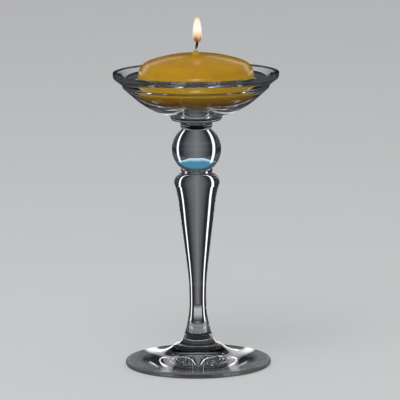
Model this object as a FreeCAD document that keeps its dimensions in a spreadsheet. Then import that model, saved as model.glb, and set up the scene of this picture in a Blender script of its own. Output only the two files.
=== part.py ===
# Floating candle bowl: a hot-worked glass pedestal with a shallow bowl, and a domed candle
# that lies in the bowl and lifts out. Millimetres, +Z up, origin under the foot's centre.
import FreeCAD, Part
import math
import os

import Sketcher

# Driving sizes in millimetres, then shares; each becomes one named cell of the sheet
LENGTHS = {
    "foot_radius": 48.0,
    "foot_height": 17.9,
    "foot_edge_thickness": 3.4,
    "foot_edge_radius": 1.2,
    "foot_rest_width": 1.6,
    "foot_hollow_depth": 1.2,
    "boss_radius": 16.8,
    "foot_joint_radius": 10.0,
    "stem_height": 110.0,
    "stem_waist_radius": 5.5,
    "stem_shoulder_radius": 15.1,
    "stem_crown_height": 6.0,
    "stem_joint_radius": 9.3,
    "lower_collar_height": 3.3,
    "lower_collar_radius": 10.4,
    "ball_radius": 16.3,
    "ball_lower_joint_radius": 10.1,
    "ball_upper_joint_radius": 9.4,
    "upper_collar_height": 4.9,
    "upper_collar_radius": 10.6,
    "pad_joint_radius": 9.7,
    "pad_height": 4.6,
    "pad_rim_reach": 0.45,
    "pad_rim_thickness": 3.6,
    "bowl_joint_radius": 16.6,
    "bowl_height": 28.1,
    "bowl_side_gap": 6.7,
    "bowl_floor_margin": 1.0,
    "bowl_floor_thickness": 4.0,
    "bowl_wall_thickness": 3.4,
    "lip_reach": 6.3,
    "lip_thickness": 3.9,
    "lip_edge_radius": 0.6,
    "candle_clearance": 0.3,
    "candle_radius": 38.1,
    "candle_height": 35.9,
    "candle_base_radius": 13.0,
    "nub_radius": 2.4,
    "nub_height": 1.6,
    "wick_radius": 0.9,
    "wick_clearance": 0.05,
    "wick_rise": 8.9,
    "tab_radius": 6.0,
    "tab_thickness": 0.4,
    "tab_neck_height": 3.0,
    "tab_neck_wall": 0.4,
    "tab_clearance": 0.1,
    "flame_radius": 3.5,
    "flame_height": 17.6,
    "flame_overlap": 1.6,
    "flame_clearance": 0.3,
    "cut_overrun": 2.0,
}

SHARES = {
    "foot_slope_reach_share": 0.54,
    "foot_slope_rise_share": 0.45,
    "foot_slope_bulge_share": 0.015,
    "foot_rise_bulge_share": 0.1,
    "boss_rise_share": 0.685,
    "boss_neck_reach_share": 0.79,
    "boss_neck_rise_share": 0.8,
    "boss_bulge_share": 0.20,
    "foot_neck_bulge_share": 0.2,
    "waist_rise_share": 0.228,
    "waist_lower_bulge_share": 0.089,
    "taper_start_reach_share": 1.284,
    "taper_start_rise_share": 0.455,
    "taper_start_bulge_share": 0.031,
    "taper_end_reach_share": 0.812,
    "taper_end_rise_share": 0.835,
    "flare_end_reach_share": 0.978,
    "flare_end_rise_share": 0.933,
    "flare_bulge_share": 0.04,
    "shoulder_bulge_share": 0.10,
    "crown_bulge_share": 0.38,
    "collar_bead_rise_share": 0.55,
    "collar_bead_bulge_share": 0.28,
    "pad_neck_reach_share": 0.94,
    "pad_rim_rise_share": 0.50,
    "pad_rim_bulge_share": 0.25,
    "bowl_turn_reach_share": 0.785,
    "bowl_turn_rise_share": 0.326,
    "bowl_turn_bulge_share": 0.135,
    "bowl_side_reach_share": 0.973,
    "bowl_side_rise_share": 0.61,
    "bowl_side_bulge_share": 0.02,
    "bowl_shoulder_rise_share": 0.67,
    "bowl_shoulder_bulge_share": 0.22,
    "bowl_corner_rise_share": 0.697,
    "lip_side_bulge_share": 0.12,
    "flange_dip_share": 0.055,
    "flange_bulge_share": 0.04,
    "flange_root_share": 0.45,
    "flange_root_rise_share": 0.76,
    "flange_root_bulge_share": 0.30,
    "bowl_hollow_bulge_share": 0.31,
    "candle_turn_reach_share": 0.827,
    "candle_turn_rise_share": 0.857,
    "candle_side_top_share": 0.594,
    "candle_side_low_share": 0.38,
    "candle_dome_bulge_share": 0.088,
    "candle_turn_bulge_share": 0.313,
    "candle_belly_bulge_share": 0.26,
    "nub_top_share": 0.55,
    "nub_bulge_share": 0.30,
    "wick_tip_share": 0.55,
    "flame_base_share": 0.6,
    "flame_heel_reach_share": 0.975,
    "flame_heel_rise_share": 0.125,
    "flame_lower_bulge_share": 0.3,
    "flame_neck_reach_share": 0.74,
    "flame_neck_rise_share": 0.765,
    "flame_upper_bulge_share": 0.08,
    "flame_tip_reach_share": 0.17,
    "flame_tip_rise_share": 0.98,
    "flame_tip_bulge_share": 0.12,
}

SHEET_COLUMNS = ("A", "B")
FULL_TURN = 360.0


class Size:
    """A number together with the sheet expression that gives it."""

    def __init__(self, number, rule):
        self.number = number
        self.rule = rule

    def __add__(self, other):
        return Size(self.number + other.number, f"({self.rule} + {other.rule})")

    def __sub__(self, other):
        return Size(self.number - other.number, f"({self.rule} - {other.rule})")

    def __mul__(self, other):
        return Size(self.number * other.number, f"({self.rule} * {other.rule})")

    def __truediv__(self, other):
        return Size(self.number / other.number, f"({self.rule} / {other.rule})")

    def root(self):
        return Size(math.sqrt(self.number), f"sqrt({self.rule})")


ZERO = Size(0.0, "0")
ONE = Size(1.0, "1")
TWO = Size(2.0, "2")
FOUR = Size(4.0, "4")
QUARTER_BULGE = TWO.root() - ONE


def make_sheet(doc):
    """Write the sizes to the document's sheet and return them by name."""
    sheet = doc.addObject("Spreadsheet::Sheet", "Sizes")
    words, numbers = SHEET_COLUMNS
    size = {}
    for row, (name, number) in enumerate({**LENGTHS, **SHARES}.items(), start=1):
        sheet.set(f"{words}{row}", name)
        sheet.set(f"{numbers}{row}", str(number))
        sheet.setAlias(f"{numbers}{row}", name)
        size[name] = Size(number, f"Sizes.{name}")
    doc.recompute()
    return size


def chord_of(start, end):
    """The straight distance between two corners."""
    run = end[0] - start[0]
    rise = end[1] - start[1]
    return (run * run + rise * rise).root()


def arc_radius(start, end, bulge):
    """Radius of the arc whose height over half its chord is the bulge."""
    return chord_of(start, end) * (ONE + bulge * bulge) / (FOUR * bulge)


def bulge_of(radius, start, end):
    """Bulge of the arc of a known radius: its height over half its chord."""
    half = chord_of(start, end) / TWO
    return (radius - (radius * radius - half * half).root()) / half


def draw_arc(sketch, start, end, bulge, side, radius):
    """Add the arc from start to end, bowed to the left for side 1 and to the right for side -1."""
    x0, z0 = start[0].number, start[1].number
    x1, z1 = end[0].number, end[1].number
    middle = FreeCAD.Vector((x0 + x1) / 2, (z0 + z1) / 2, 0)
    chord = FreeCAD.Vector(x1 - x0, z1 - z0, 0)
    left = FreeCAD.Vector(-chord.y, chord.x, 0) * (side / chord.Length)
    crest = bulge.number * chord.Length / 2
    centre = middle + left * (crest - radius.number)
    first, last = ((x1, z1), (x0, z0)) if side > 0 else ((x0, z0), (x1, z1))
    turn_from = math.atan2(first[1] - centre.y, first[0] - centre.x)
    turn_to = math.atan2(last[1] - centre.y, last[0] - centre.x)
    circle = Part.Circle(centre, FreeCAD.Vector(0, 0, 1), radius.number)
    return sketch.addGeometry(Part.ArcOfCircle(circle, turn_from, turn_to), False)


def bind(sketch, constraint, size):
    """Add a constraint and tie its value to the sheet."""
    index = sketch.addConstraint(constraint)
    sketch.setExpression(f"Constraints[{index}]", size.rule)


def half_outline(body, name, corners, bows):
    """Sketch a closed outline beside the body's own Z axis.

    Corners are pairs of radius and height. A bow is None for a straight edge, or a bulge with
    its side, for the edge that starts at the corner with the same number.
    """
    sketch = body.newObject("Sketcher::SketchObject", name)
    plane = next(f for f in body.Origin.OriginFeatures if f.Role == "XZ_Plane")
    sketch.AttachmentSupport = [(plane, "")]
    sketch.MapMode = "FlatFace"
    ends = []
    for number, (start, bow) in enumerate(zip(corners, bows)):
        end = corners[(number + 1) % len(corners)]
        if bow is None:
            points = [FreeCAD.Vector(x.number, z.number, 0) for x, z in (start, end)]
            edge = sketch.addGeometry(Part.LineSegment(*points), False)
            ends.append((edge, 1, 2))
            continue
        bulge, side = bow
        radius = arc_radius(start, end, bulge)
        edge = draw_arc(sketch, start, end, bulge, side, radius)
        ends.append((edge, 2, 1) if side > 0 else (edge, 1, 2))
        bind(sketch, Sketcher.Constraint("Radius", edge, radius.number), radius)
    for number, (x, z) in enumerate(corners):
        edge, start_at, _ = ends[number]
        before, _, end_at = ends[number - 1]
        sketch.addConstraint(Sketcher.Constraint("Coincident", before, end_at, edge, start_at))
        for kind, place, axis in (("DistanceX", x, -2), ("DistanceY", z, -1)):
            if place is ZERO:
                sketch.addConstraint(Sketcher.Constraint("PointOnObject", edge, start_at, axis))
            else:
                bind(sketch, Sketcher.Constraint(kind, -1, 1, edge, start_at, place.number), place)
    return sketch


def turn(body, name, sketch, kind):
    """Turn a sketched outline about the body's Z axis, as a solid or as a groove in it."""
    feature = body.newObject(kind, name)
    feature.Profile = sketch
    feature.ReferenceAxis = (sketch, ["V_Axis"])
    feature.Angle = FULL_TURN
    return feature


def turned_body(doc, label, seat, corners, bows):
    """A body turned from one outline, standing at the height of its seat."""
    body = doc.addObject("PartDesign::Body", label)
    body.Label = label
    sketch = half_outline(body, f"{label}_outline", corners, bows)
    turn(body, f"{label}_turned", sketch, "PartDesign::Revolution")
    if seat is not ZERO:
        body.setExpression("Placement.Base.z", seat.rule)
    return body


def groove(body, name, corners, bows):
    """Cut a turned hollow into a body, and check that it took something away."""
    body.Document.recompute()
    before = body.Shape.Volume
    sketch = half_outline(body, f"{name}_outline", corners, bows)
    turn(body, name, sketch, "PartDesign::Groove")
    body.Document.recompute()
    if not body.Shape.Volume < before:
        raise RuntimeError(f"{name} cuts nothing")


def make_foot(doc, s, seat):
    """Round foot: a rest ring round a shallow hollow, a rounded edge, a long slope and a boss."""
    edge = s["foot_edge_radius"]
    rest_outer = s["foot_radius"] - edge
    rest_inner = rest_outer - s["foot_rest_width"]
    round_edge = (QUARTER_BULGE, -1)
    slope = (s["foot_radius"] * s["foot_slope_reach_share"], s["foot_height"] * s["foot_slope_rise_share"])
    boss = (s["boss_radius"], s["foot_height"] * s["boss_rise_share"])
    neck = (s["boss_radius"] * s["boss_neck_reach_share"], s["foot_height"] * s["boss_neck_rise_share"])
    corners = [
        (ZERO, s["foot_hollow_depth"]),
        (rest_inner, ZERO),
        (rest_outer, ZERO),
        (s["foot_radius"], edge),
        (s["foot_radius"], s["foot_edge_thickness"] - edge),
        (rest_outer, s["foot_edge_thickness"]),
        slope,
        boss,
        neck,
        (s["foot_joint_radius"], s["foot_height"]),
        (ZERO, s["foot_height"]),
    ]
    bows = [
        None,
        None,
        round_edge,
        None,
        round_edge,
        (s["foot_slope_bulge_share"], 1),
        (s["foot_rise_bulge_share"], 1),
        (s["boss_bulge_share"], -1),
        (s["foot_neck_bulge_share"], 1),
        None,
        None,
    ]
    return turned_body(doc, "foot", seat, corners, bows)


def make_stem(doc, s, seat):
    """Solid stem: a flare off the foot, a thin waist, a long taper, a wide shoulder and a crown."""
    tall = s["stem_height"]
    waist = (s["stem_waist_radius"], tall * s["waist_rise_share"])
    taper_start = (s["stem_waist_radius"] * s["taper_start_reach_share"], tall * s["taper_start_rise_share"])
    taper_end = (s["stem_shoulder_radius"] * s["taper_end_reach_share"], tall * s["taper_end_rise_share"])
    flare_end = (s["stem_shoulder_radius"] * s["flare_end_reach_share"], tall * s["flare_end_rise_share"])
    corners = [
        (ZERO, ZERO),
        (s["foot_joint_radius"], ZERO),
        waist,
        taper_start,
        taper_end,
        flare_end,
        (s["stem_shoulder_radius"], tall - s["stem_crown_height"]),
        (s["stem_joint_radius"], tall),
        (ZERO, tall),
    ]
    bows = [
        None,
        (s["waist_lower_bulge_share"], 1),
        (s["taper_start_bulge_share"], 1),
        None,
        (s["flare_bulge_share"], 1),
        (s["shoulder_bulge_share"], -1),
        (s["crown_bulge_share"], -1),
        None,
        None,
    ]
    return turned_body(doc, "stem", seat, corners, bows)


def make_collar(doc, s, seat, label, tall, bead_radius, low_radius, top_radius):
    """Short ring with a rounded bead, between two glass pieces."""
    corners = [
        (ZERO, ZERO),
        (low_radius, ZERO),
        (bead_radius, tall * s["collar_bead_rise_share"]),
        (top_radius, tall),
        (ZERO, tall),
    ]
    bead = (s["collar_bead_bulge_share"], -1)
    return turned_body(doc, label, seat, corners, [None, bead, bead, None, None])


def ball_heights(s):
    """Heights of the ball's centre over its lower joint, and of its upper joint over the centre."""
    round_area = s["ball_radius"] * s["ball_radius"]
    lower = (round_area - s["ball_lower_joint_radius"] * s["ball_lower_joint_radius"]).root()
    upper = (round_area - s["ball_upper_joint_radius"] * s["ball_upper_joint_radius"]).root()
    return lower, upper


def make_ball(doc, s, seat):
    """Solid glass ball with a small flat joint below and above."""
    lower, upper = ball_heights(s)
    radius = s["ball_radius"]
    corners = [
        (ZERO, ZERO),
        (s["ball_lower_joint_radius"], ZERO),
        (radius, lower),
        (s["ball_upper_joint_radius"], lower + upper),
        (ZERO, lower + upper),
    ]
    lower_bulge = bulge_of(radius, corners[1], corners[2])
    upper_bulge = bulge_of(radius, corners[2], corners[3])
    return turned_body(doc, "ball_knop", seat, corners,
                       [None, (lower_bulge, -1), (upper_bulge, -1), None, None])


def make_pad(doc, s, seat):
    """Flat disc with a rounded rim that carries the bowl."""
    top = s["pad_height"]
    radius = s["bowl_joint_radius"] + s["pad_rim_reach"]
    rim_low = top - s["pad_rim_thickness"]
    corners = [
        (ZERO, ZERO),
        (s["pad_joint_radius"], ZERO),
        (radius * s["pad_neck_reach_share"], rim_low),
        (radius, rim_low + s["pad_rim_thickness"] * s["pad_rim_rise_share"]),
        (s["bowl_joint_radius"], top),
        (ZERO, top),
    ]
    rim = (s["pad_rim_bulge_share"], -1)
    return turned_body(doc, "bowl_pad", seat, corners, [None, None, rim, rim, None, None])


def make_bowl(doc, s, seat):
    """Shallow bowl round the candle: thick floor, rounded side and turned-out lip, dished on top."""
    tall = s["bowl_height"]
    inner = s["candle_radius"] + s["bowl_side_gap"]
    radius = inner + s["bowl_wall_thickness"]
    lip_radius = radius + s["lip_reach"]
    edge = s["lip_edge_radius"]
    flange = lip_radius - inner
    corners = [
        (ZERO, ZERO),
        (s["bowl_joint_radius"], ZERO),
        (radius * s["bowl_turn_reach_share"], tall * s["bowl_turn_rise_share"]),
        (radius * s["bowl_side_reach_share"], tall * s["bowl_side_rise_share"]),
        (radius, tall * s["bowl_shoulder_rise_share"]),
        (radius, tall * s["bowl_corner_rise_share"]),
        (lip_radius - edge, tall - s["lip_thickness"]),
        (lip_radius, tall - edge),
        (lip_radius - edge, tall),
        (inner + flange * s["flange_root_share"], tall - tall * s["flange_dip_share"]),
        (inner, tall * s["flange_root_rise_share"]),
        (s["candle_base_radius"] + s["bowl_floor_margin"], s["bowl_floor_thickness"]),
        (ZERO, s["bowl_floor_thickness"]),
    ]
    bows = [
        None,
        (s["bowl_turn_bulge_share"], -1),
        (s["bowl_side_bulge_share"], -1),
        (s["bowl_shoulder_bulge_share"], -1),
        None,
        None,
        (s["lip_side_bulge_share"], -1),
        (QUARTER_BULGE, -1),
        (s["flange_bulge_share"], 1),
        (s["flange_root_bulge_share"], -1),
        (s["bowl_hollow_bulge_share"], 1),
        None,
        None,
    ]
    return turned_body(doc, "bowl", seat, corners, bows)


def make_candle(doc, s, seat):
    """Domed wax with a small nub round the wick, a bore for it and a recess for its tab."""
    tall = s["candle_height"]
    radius = s["candle_radius"]
    bore = s["wick_radius"] + s["wick_clearance"]
    corners = [
        (ZERO, ZERO),
        (s["candle_base_radius"], ZERO),
        (radius, tall * s["candle_side_low_share"]),
        (radius, tall * s["candle_side_top_share"]),
        (radius * s["candle_turn_reach_share"], tall * s["candle_turn_rise_share"]),
        (s["nub_radius"], tall),
        (bore + (s["nub_radius"] - bore) * s["nub_top_share"], tall + s["nub_height"]),
        (ZERO, tall + s["nub_height"]),
    ]
    bows = [
        None,
        (s["candle_belly_bulge_share"], -1),
        None,
        (s["candle_turn_bulge_share"], -1),
        (s["candle_dome_bulge_share"], -1),
        (s["nub_bulge_share"], 1),
        None,
        None,
    ]
    body = turned_body(doc, "candle_wax", seat, corners, bows)
    neck = bore + s["tab_neck_wall"] + s["tab_clearance"]
    recess = s["tab_radius"] + s["tab_clearance"]
    recess_top = s["tab_thickness"] + s["tab_clearance"]
    neck_top = s["tab_thickness"] + s["tab_neck_height"] + s["tab_clearance"]
    below = ZERO - s["cut_overrun"]
    above = tall + s["nub_height"] + s["cut_overrun"]
    hollow = [
        (ZERO, below),
        (recess, below),
        (recess, recess_top),
        (neck, recess_top),
        (neck, neck_top),
        (bore, neck_top),
        (bore, above),
        (ZERO, above),
    ]
    groove(body, "wick_bore", hollow, [None] * len(hollow))
    return body


def wick_tip_height(s):
    """Height of the wick's tip over the underside of the wax."""
    return s["candle_height"] + s["wick_rise"]


def make_wick(doc, s, seat):
    """Round wick from the tab's underside to its tip over the wax."""
    radius = s["wick_radius"]
    tip = wick_tip_height(s)
    corners = [
        (ZERO, ZERO),
        (radius, ZERO),
        (radius, tip - radius),
        (radius * s["wick_tip_share"], tip),
        (ZERO, tip),
    ]
    bows = [None, None, (s["nub_bulge_share"], -1), None, None]
    return turned_body(doc, "wick", seat, corners, bows)


def make_tab(doc, s, seat):
    """Thin metal disc with a crimped neck that grips the wick."""
    bore = s["wick_radius"] + s["wick_clearance"]
    neck = bore + s["tab_neck_wall"]
    neck_top = s["tab_thickness"] + s["tab_neck_height"]
    corners = [
        (bore, ZERO),
        (s["tab_radius"], ZERO),
        (s["tab_radius"], s["tab_thickness"]),
        (neck, s["tab_thickness"]),
        (neck, neck_top),
        (bore, neck_top),
    ]
    return turned_body(doc, "wick_tab", seat, corners, [None] * len(corners))


def make_flame(doc, s, seat):
    """Teardrop flame with a small socket for the wick's tip."""
    tall = s["flame_height"]
    radius = s["flame_radius"]
    corners = [
        (ZERO, ZERO),
        (radius * s["flame_base_share"], ZERO),
        (radius * s["flame_heel_reach_share"], tall * s["flame_heel_rise_share"]),
        (radius * s["flame_neck_reach_share"], tall * s["flame_neck_rise_share"]),
        (radius * s["flame_tip_reach_share"], tall * s["flame_tip_rise_share"]),
        (ZERO, tall),
    ]
    bows = [
        None,
        (s["flame_lower_bulge_share"], -1),
        (s["flame_upper_bulge_share"], -1),
        (s["flame_tip_bulge_share"], -1),
        None,
        None,
    ]
    body = turned_body(doc, "flame", seat, corners, bows)
    socket = s["wick_radius"] + s["flame_clearance"]
    below = ZERO - s["cut_overrun"]
    socket_top = s["flame_overlap"] + s["flame_clearance"]
    hollow = [(ZERO, below), (socket, below), (socket, socket_top), (ZERO, socket_top)]
    groove(body, "wick_socket", hollow, [None] * len(hollow))
    return body


def make_part(doc):
    """Build every piece on its seat, from the table up."""
    s = make_sheet(doc)
    stem_seat = s["foot_height"]
    lower_collar_seat = stem_seat + s["stem_height"]
    ball_seat = lower_collar_seat + s["lower_collar_height"]
    ball_lower, ball_upper = ball_heights(s)
    upper_collar_seat = ball_seat + ball_lower + ball_upper
    pad_seat = upper_collar_seat + s["upper_collar_height"]
    bowl_seat = pad_seat + s["pad_height"]
    candle_seat = bowl_seat + s["bowl_floor_thickness"] + s["candle_clearance"]
    flame_seat = candle_seat + wick_tip_height(s) - s["flame_overlap"]
    return [
        make_foot(doc, s, ZERO),
        make_stem(doc, s, stem_seat),
        make_collar(doc, s, lower_collar_seat, "lower_collar", s["lower_collar_height"],
                    s["lower_collar_radius"], s["stem_joint_radius"], s["ball_lower_joint_radius"]),
        make_ball(doc, s, ball_seat),
        make_collar(doc, s, upper_collar_seat, "upper_collar", s["upper_collar_height"],
                    s["upper_collar_radius"], s["ball_upper_joint_radius"], s["pad_joint_radius"]),
        make_pad(doc, s, pad_seat),
        make_bowl(doc, s, bowl_seat),
        make_candle(doc, s, candle_seat),
        make_wick(doc, s, candle_seat),
        make_tab(doc, s, candle_seat),
        make_flame(doc, s, flame_seat),
    ]


def check_part(doc, bodies):
    """Stop if any object failed or any piece is missing, broken or not one solid."""
    for item in doc.Objects:
        if "Invalid" in item.State or "Error" in item.State:
            raise RuntimeError(f"{item.Name} failed: {item.State}")
    for body in bodies:
        shape = body.Shape
        if shape.isNull() or not shape.isValid() or len(shape.Solids) != 1:
            raise RuntimeError(f"{body.Label} is not one valid solid")


def main():
    doc = FreeCAD.newDocument("FloatingCandleBowl")
    bodies = make_part(doc)
    doc.recompute()
    check_part(doc, bodies)
    os.makedirs("parts", exist_ok=True)
    for body in bodies:
        body.Shape.exportStep(f"parts/{body.Label}.step")
        box = body.Shape.BoundBox
        print(f"{body.Label}: z {box.ZMin:.2f} to {box.ZMax:.2f}, radius {box.XMax:.2f}, "
              f"volume {body.Shape.Volume:.1f}")


main()
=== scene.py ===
"""Floating candle bowl: glass, wax, wick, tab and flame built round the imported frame."""

import math

import bmesh
import bpy
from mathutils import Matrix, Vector


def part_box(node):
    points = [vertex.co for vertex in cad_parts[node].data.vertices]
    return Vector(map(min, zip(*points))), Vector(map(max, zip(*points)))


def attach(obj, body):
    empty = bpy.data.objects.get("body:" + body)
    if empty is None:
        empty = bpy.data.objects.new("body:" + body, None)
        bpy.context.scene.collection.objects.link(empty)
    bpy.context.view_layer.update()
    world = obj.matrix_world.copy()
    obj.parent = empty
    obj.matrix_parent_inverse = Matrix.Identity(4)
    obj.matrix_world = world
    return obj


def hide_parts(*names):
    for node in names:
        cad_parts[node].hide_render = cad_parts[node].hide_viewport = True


bl_info = {
    "name": "Floating Candle Bowl",
    "version": (1, 0, 0),
    "blender": (4, 5, 0),
    "location": "View3D > Sidebar > Candle Bowl",
    "description": "Turned glass, domed wax, braided wick and flame on a candle bowl's frame",
    "category": "Add Mesh",
}

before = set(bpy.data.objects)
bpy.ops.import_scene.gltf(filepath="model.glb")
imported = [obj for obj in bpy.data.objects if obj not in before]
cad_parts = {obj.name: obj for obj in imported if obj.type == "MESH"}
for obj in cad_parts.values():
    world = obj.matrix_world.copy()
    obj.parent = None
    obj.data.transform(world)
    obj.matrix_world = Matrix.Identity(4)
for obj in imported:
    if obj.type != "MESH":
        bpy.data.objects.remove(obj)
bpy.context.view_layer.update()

MM = 0.001
FULL_TURN = 2 * math.pi
QUARTER_BOW = math.sqrt(2) - 1
SAME_POINT = 1e-7
MERGE_REACH = 1e-6
ARC_STEP = math.radians(5)
GLASS_STEP = 0.6 * MM
JOINT_REACH = 1e-5
WICK_BORE = 0.95 * MM
BRAID_FLATNESS = 0.62
FOOT_CLEAR = 50 * MM
DRIFT_SHADE = 0.985
PASSED_LIGHT = 0.62
WHITE = (1.0, 1.0, 1.0)
DARK = (0.02, 0.022, 0.025)
MIRRORED_FLOOR = (0.05, 0.052, 0.055)


def seat_of(node):
    """Height of a CAD node's underside."""
    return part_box(node)[0].z


def height_of(node):
    """Height of a CAD node from its underside to its top."""
    low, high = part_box(node)
    return high.z - low.z


def radius_of(node):
    """Largest radius of a CAD node about the upright axis."""
    low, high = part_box(node)
    return max(high.x, high.y, -low.x, -low.y)


# Settings that a user would change

def length_setting(name, description, default, least=0.0):
    """A length in metres, shown in the scene's own unit."""
    return bpy.props.FloatProperty(name=name, description=description, default=default, min=least,
                                   precision=5, subtype="DISTANCE", unit="LENGTH")


def level_setting(name, description, default):
    """A plain level of light or brightness."""
    return bpy.props.FloatProperty(name=name, description=description, default=default, min=0.0)


def angle_setting(name, description, default):
    """An angle, given here in degrees."""
    return bpy.props.FloatProperty(name=name, description=description, default=math.radians(default),
                                   subtype="ANGLE", unit="ROTATION")


def colour_setting(name, description, default):
    """A colour in linear red, green and blue."""
    return bpy.props.FloatVectorProperty(name=name, description=description, default=default,
                                         size=3, min=0.0, max=1.0, subtype="COLOR")


class GlassSettings(bpy.types.PropertyGroup):
    """Sizes and tints of the turned glass."""

    foot_radius: length_setting("Foot radius", "Radius of the round foot", radius_of("foot"))
    foot_height: length_setting("Foot height", "Height of the foot to its joint", height_of("foot"))
    stem_height: length_setting("Stem height", "Height of the stem between its joints", height_of("stem"))
    stem_shoulder: length_setting("Stem shoulder", "Radius of the stem at its shoulder", radius_of("stem"))
    stem_waist: length_setting("Stem waist", "Radius of the stem where it is thinnest", 5.5 * MM)
    ball_radius: length_setting("Ball radius", "Radius of the glass ball", radius_of("ball_knop"))
    bowl_height: length_setting("Bowl height", "Height of the bowl from its joint", height_of("bowl"))
    bowl_radius: length_setting("Bowl radius", "Outer radius of the bowl under its lip", 48.2 * MM)
    bowl_inside: length_setting("Bowl inside", "Inner radius of the bowl", 44.8 * MM)
    lip_radius: length_setting("Lip radius", "Outer radius of the turned-out lip", radius_of("bowl"))
    sides: bpy.props.IntProperty(name="Sides", description="Faces round each turned piece",
                                 default=176, min=24, max=360)
    wave_height: length_setting("Wave height", "How far hot work leaves the surface off true", 0.06 * MM)
    wave_size: length_setting("Wave size", "Distance from one soft wave to the next", 13 * MM, 1 * MM)
    tint: colour_setting("Glass tint", "Colour that clear glass passes", (0.965, 0.98, 0.985))
    ball_tint: colour_setting("Ball tint", "Colour that the ball's glass passes", (0.92, 0.97, 0.985))


class CandleSettings(bpy.types.PropertyGroup):
    """Sizes and colours of the candle, its wick, tab and flame."""

    radius: length_setting("Wax radius", "Radius of the wax", radius_of("candle_wax"))
    height: length_setting("Wax height", "Height of the dome without its nub", 35.9 * MM)
    wax_gold: colour_setting("Gold wax", "Main colour of the wax", (0.56, 0.32, 0.014))
    # Amber stands for denser wax in the mottle, and is also painted on the dome's top as shade.
    wax_amber_and_top_shade: colour_setting("Amber wax", "Colour of the wax where it is denser", (0.46, 0.2, 0.012))
    # Painted light: this lighter colour is laid round the wax's belly in place of light falling there.
    wax_belly_light: colour_setting("Belly light wax", "Colour of the wax round its belly", (0.66, 0.42, 0.014))
    # Painted shade: this darker colour is laid on the wax's foot in place of shade.
    wax_foot_shade: colour_setting("Foot shade wax", "Colour of the wax at its foot", (0.2, 0.085, 0.008))
    wax_pale: colour_setting("Pale wax", "Colour of the wax where it blooms", (0.64, 0.4, 0.05))
    wax_nub: colour_setting("Nub wax", "Colour of the wax round the wick", (0.52, 0.38, 0.03))
    wick_strands: bpy.props.IntProperty(name="Wick strands", description="Strands braided into the wick",
                                        default=3, min=2, max=8)
    wick_radius: length_setting("Wick radius", "Radius of the braided wick", radius_of("wick"))
    braid_pitch: length_setting("Braid pitch", "Height in which a strand comes round", 3.4 * MM, 0.5 * MM)
    wick_lean: length_setting("Wick lean", "How far the wick's tip and the flame bend aside", 1.05 * MM)
    cotton: colour_setting("Cotton", "Colour of the clean cotton", (0.72, 0.62, 0.42))
    char: colour_setting("Char", "Colour of the burnt wick", (0.018, 0.014, 0.011))
    tab_ridges: bpy.props.IntProperty(name="Tab ridges", description="Ridges stamped into the wick tab",
                                      default=8, min=3, max=24)
    tab_metal: colour_setting("Tab metal", "Colour of the wick tab", (0.7, 0.7, 0.71))
    flame_core: colour_setting("Flame core", "Colour of the brightest part of the flame", (1.0, 0.99, 0.95))
    flame_edge: colour_setting("Flame edge", "Colour of the flame's outside near its tip", (1.0, 0.75, 0.48))


class StageSettings(bpy.types.PropertyGroup):
    """Camera, floor and lights."""

    lens: bpy.props.FloatProperty(name="Lens", description="Focal length on a 36 mm sensor, in millimetres",
                                  default=282.5, min=10)
    camera_distance: length_setting("Camera distance", "Level distance from the axis to the camera", 2.0395)
    camera_height: length_setting("Camera height", "Height of the camera over the floor", 0.4439)
    camera_pitch: angle_setting("Camera pitch", "How far the camera looks down", 9.30)
    camera_roll: angle_setting("Camera roll", "How far the camera leans to its side", -0.48)
    camera_shift: bpy.props.FloatProperty(
        name="Camera shift", description="Sideways shift as a share of the frame", default=0.0075)
    floor_radius: length_setting("Floor radius", "Radius of the floor", 24.0)
    floor_colour: colour_setting("Floor colour", "Colour of the pale floor", (0.72, 0.73, 0.74))
    backdrop: colour_setting("Backdrop", "Colour beyond the floor", (0.47, 0.48, 0.49))
    room_light: level_setting("Room light", "Even light from all round", 0.62)
    key_light: level_setting("Key light", "Brightness of the large soft panel overhead", 2.4)
    cool_colour: colour_setting("Cool colour", "Colour of the card behind the ball", (0.085, 0.27, 0.4))
    cool_distance: length_setting("Cool distance", "Distance from the axis to the cool card", 0.2)
    ceiling_light: level_setting("Ceiling light", "Brightness of the long panel overhead", 1.0)
    strip_light: level_setting("Strip light", "Brightness of the tall panels that gloss and glass show", 1.7)
    rear_light: level_setting("Rear light", "Brightness of the wide lamps behind that the wax shows", 1.2)
    foot_light: level_setting("Foot light", "Brightness of the small lamps behind that the foot shows", 2.0)
    glint_light: level_setting("Glint light", "Brightness of the low panels that the bowl shows", 2.5)
    front_light: level_setting("Front light", "Brightness of the soft panel that the wax shows", 13.0)


class BowlSettings(bpy.types.PropertyGroup):
    """All settings of the candle bowl."""

    glass: bpy.props.PointerProperty(type=GlassSettings)
    candle: bpy.props.PointerProperty(type=CandleSettings)
    stage: bpy.props.PointerProperty(type=StageSettings)


# Node trees

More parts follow.
